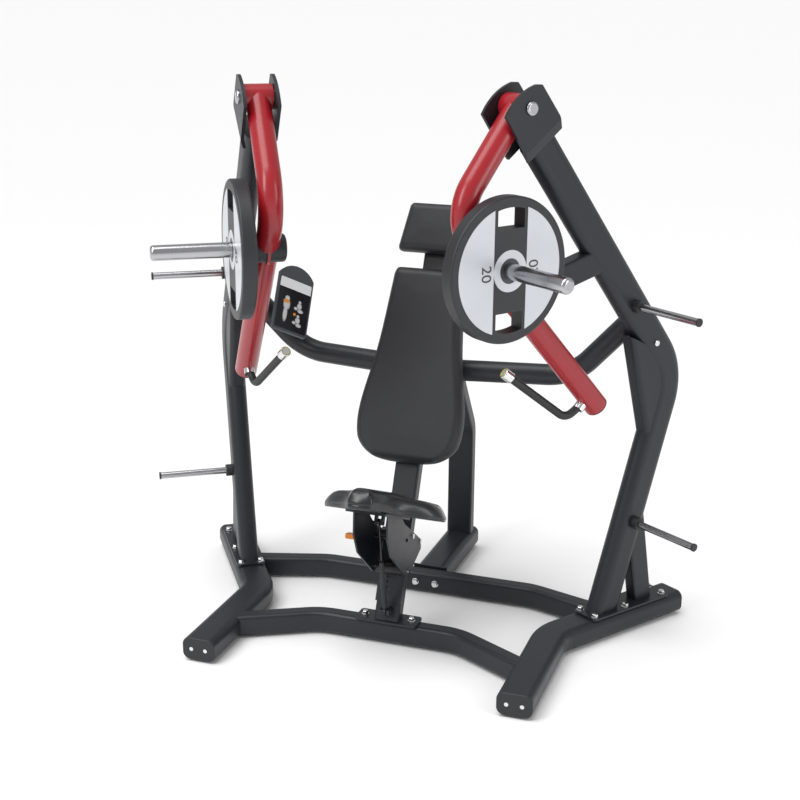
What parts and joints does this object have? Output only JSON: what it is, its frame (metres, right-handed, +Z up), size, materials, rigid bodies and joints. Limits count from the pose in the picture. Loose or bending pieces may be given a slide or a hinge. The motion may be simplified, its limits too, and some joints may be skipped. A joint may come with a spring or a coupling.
{
  "type": "chest press machine",
  "caption": "Plate-loaded chest press machine with independent pressing arms pivoted high on swept side uprights, a slanted back and head cushion, and an adjustable seat.",
  "frame": {"origin": "middle of the footprint, on the floor", "axes": "+Z up, X across the machine, -Y the way the lifter faces"},
  "size_m": [2.0386, 1.3326, 1.946],
  "materials": {
    "frame_black": "matte fine-texture powder coat",
    "arm_red": "satin red paint",
    "chrome_bar": "satin chrome",
    "chrome_bright": "bright plated steel",
    "grip_black": "smooth grip sleeve",
    "plate_rubber": "satin moulded rubber",
    "plate_silver": "satin silver",
    "insert_steel": "dark machined steel",
    "cap_plastic": "moulded",
    "rubber_black": "matte",
    "pad_vinyl": "fine-grain vinyl",
    "seat_skin": "moulded skin, soft gloss",
    "lever_orange": "satin",
    "sign_print": "printed panel",
    "sign_grey": "moulded",
    "roller_nylon": "nylon",
    "rod_steel": "blackened"
  },
  "bodies": {
    "frame": {"arm_stops": "frame_black", "back_pad": "pad_vinyl", "base_plates": "frame_black", "cross_tube": "frame_black", "end_caps": "cap_plastic", "frame_bolts": "chrome_bright", "front_crossbar": "frame_black", "head_pad": "pad_vinyl", "pad_boards": "frame_black", "peg_collars": "cap_plastic", "pivot_ears": "frame_black", "pivot_pins": "chrome_bar", "rear_crossbar": "frame_black", "rear_post": "frame_black", "rear_rail": "frame_black", "rear_struts": "frame_black", "rubber_feet": "rubber_black", "seat_rack": "frame_black", "side_rails": "frame_black", "sign_bracket": "frame_black", "sign_face": "sign_print", "sign_shell": "sign_grey", "spine": "frame_black", "stop_bumpers": "rubber_black", "storage_pegs": "chrome_bar", "strut_lugs": "frame_black", "upright_gussets": "frame_black", "uprights": "frame_black"},
    "arm_r": {"arm_end_cap_r": "cap_plastic", "arm_lower_tube_r": "arm_red", "arm_upper_tube_r": "arm_red", "handle_bar_r": "grip_black", "handle_collars_r": "chrome_bright", "horn_carrier_r": "frame_black", "horn_r": "chrome_bar"},
    "arm_l": {"arm_end_cap_l": "cap_plastic", "arm_lower_tube_l": "arm_red", "arm_upper_tube_l": "arm_red", "handle_bar_l": "grip_black", "handle_collars_l": "chrome_bright", "horn_carrier_l": "frame_black", "horn_l": "chrome_bar"},
    "plate_r": {"plate_body_r": "plate_rubber", "plate_faces_r": "plate_silver", "plate_insert_r": "insert_steel"},
    "plate_l": {"plate_body_l": "plate_rubber", "plate_faces_l": "plate_silver", "plate_insert_l": "insert_steel"},
    "seat": {"seat_pad": "seat_skin", "seat_base": "frame_black", "seat_cheeks": "frame_black", "seat_axles": "chrome_bright", "strut_hanger": "frame_black"},
    "latch": {"seat_latch": "frame_black", "seat_lever_grip": "lever_orange"},
    "roller_1": {"seat_roller_1": "roller_nylon"},
    "roller_2": {"seat_roller_2": "roller_nylon"},
    "roller_3": {"seat_roller_3": "roller_nylon"},
    "strut_body": {"strut_cylinder": "frame_black"},
    "strut_piston": {"strut_rod": "rod_steel"}
  },
  "joints": [
    {"name": "arm_swing_r", "type": "hinge", "parent": "frame", "child": "arm_r", "pos_m": [0.4292, -0.33, 1.877], "axis": [-0.8252, 0.5648, 0], "range_deg": [0, 40]},
    {"name": "arm_swing_l", "type": "hinge", "parent": "frame", "child": "arm_l", "pos_m": [-0.4292, -0.33, 1.877], "axis": [-0.8252, -0.5648, 0], "range_deg": [0, 40]},
    {"name": "plate_slide_r", "type": "slide", "parent": "arm_r", "child": "plate_r", "axis": [0.8252, -0.5648, 0], "range_m": [0, 0.25]},
    {"name": "plate_slide_l", "type": "slide", "parent": "arm_l", "child": "plate_l", "axis": [-0.8252, -0.5648, 0], "range_m": [0, 0.25]},
    {"name": "seat_slide", "type": "slide", "parent": "frame", "child": "seat", "axis": [0, 0.3971, 0.9178], "range_m": [-0.05, 0.05]},
    {"name": "latch_turn", "type": "hinge", "parent": "seat", "child": "latch", "pos_m": [0, -0.25215, 0.38722], "axis": [1, 0, 0], "range_deg": [-8, 0], "stiffness_Nm_per_rad": 4, "springref_deg": 8.59},
    {"name": "strut_swing", "type": "hinge", "parent": "frame", "child": "strut_body", "pos_m": [0, -0.305, 0.132], "axis": [1, 0, 0], "range_deg": [-6, 6]},
    {"name": "strut_travel", "type": "slide", "parent": "strut_body", "child": "strut_piston", "axis": [0, -0.1635, 0.9865], "range_m": [-0.06, 0.06]},
    {"name": "roller_1_spin", "type": "hinge", "parent": "seat", "child": "roller_1", "pos_m": [0, -0.24478, 0.2718], "axis": [1, 0, 0], "continuous": true},
    {"name": "roller_2_spin", "type": "hinge", "parent": "seat", "child": "roller_2", "pos_m": [0, -0.19712, 0.38193], "axis": [1, 0, 0], "continuous": true},
    {"name": "roller_3_spin", "type": "hinge", "parent": "seat", "child": "roller_3", "pos_m": [0, -0.11516, 0.33012], "axis": [1, 0, 0], "continuous": true}
  ],
  "couplings": [
    {"joint": "strut_travel", "follows": "seat_slide", "ratio": 0.83804},
    {"joint": "strut_swing", "follows": "seat_slide", "rad_per_m": -1.5247}
  ]
}
